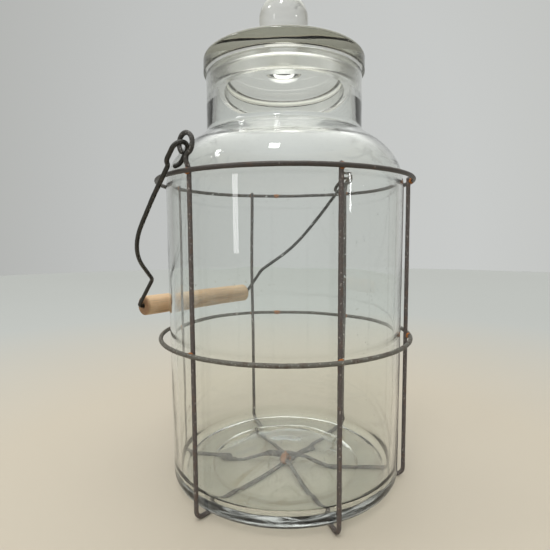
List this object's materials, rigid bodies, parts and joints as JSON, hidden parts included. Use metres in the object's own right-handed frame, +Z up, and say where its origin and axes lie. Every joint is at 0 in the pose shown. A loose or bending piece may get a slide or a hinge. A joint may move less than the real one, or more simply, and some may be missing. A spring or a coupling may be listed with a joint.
{
  "type": "stoppered glass jar in a wire carrier",
  "caption": "Wide-mouthed glass storage jar with a ball-topped ground stopper, standing in a steel wire carrier with a swinging bail and a wooden roller grip.",
  "frame": {"origin": "on the jar's axis, at floor level under the carrier", "axes": "+Z up, X along the bail's hinge, +Y towards the side on which the bail hangs, -Y the front"},
  "size_m": [0.2586, 0.2635, 0.4559],
  "materials": {
    "glass": "clear, with a faint grey-green tint",
    "wire": "dark rusted steel wire",
    "hoop_wire": "rubbed grey-brown steel wire",
    "bail_wire": "blackened steel wire",
    "weld": "rusty weld",
    "wood": "worn bare wood"
  },
  "bodies": {
    "cage": {"carrying_wire": "wire", "cross_wire_low": "wire", "cross_wire_high": "wire", "centre_weld": "weld", "middle_hoop": "hoop_wire", "top_hoop": "wire", "middle_hoop_welds": "weld", "top_hoop_welds": "weld", "middle_hoop_joint": "weld", "top_hoop_joint": "weld"},
    "bail": {"bail_wire": "bail_wire"},
    "grip": {"wooden_grip": "wood"},
    "jar": {"glass_jar": "glass"},
    "stopper": {"glass_stopper": "glass"}
  },
  "joints": [
    {"name": "bail_swing", "type": "hinge", "parent": "cage", "child": "bail", "pos_m": [0, 0, 0.30248], "axis": [1, 0, 0], "range_deg": [0, 274.1]},
    {"name": "grip_spin", "type": "hinge", "parent": "bail", "child": "grip", "pos_m": [0, 0.132, 0.16046], "axis": [1, 0, 0], "continuous": true},
    {"name": "jar_lift", "type": "slide", "parent": "cage", "child": "jar", "axis": [0, 0, 1], "range_m": [0, 0.32]},
    {"name": "stopper_lift", "type": "slide", "parent": "jar", "child": "stopper", "axis": [0, 0, 1], "range_m": [0, 0.12]}
  ]
}
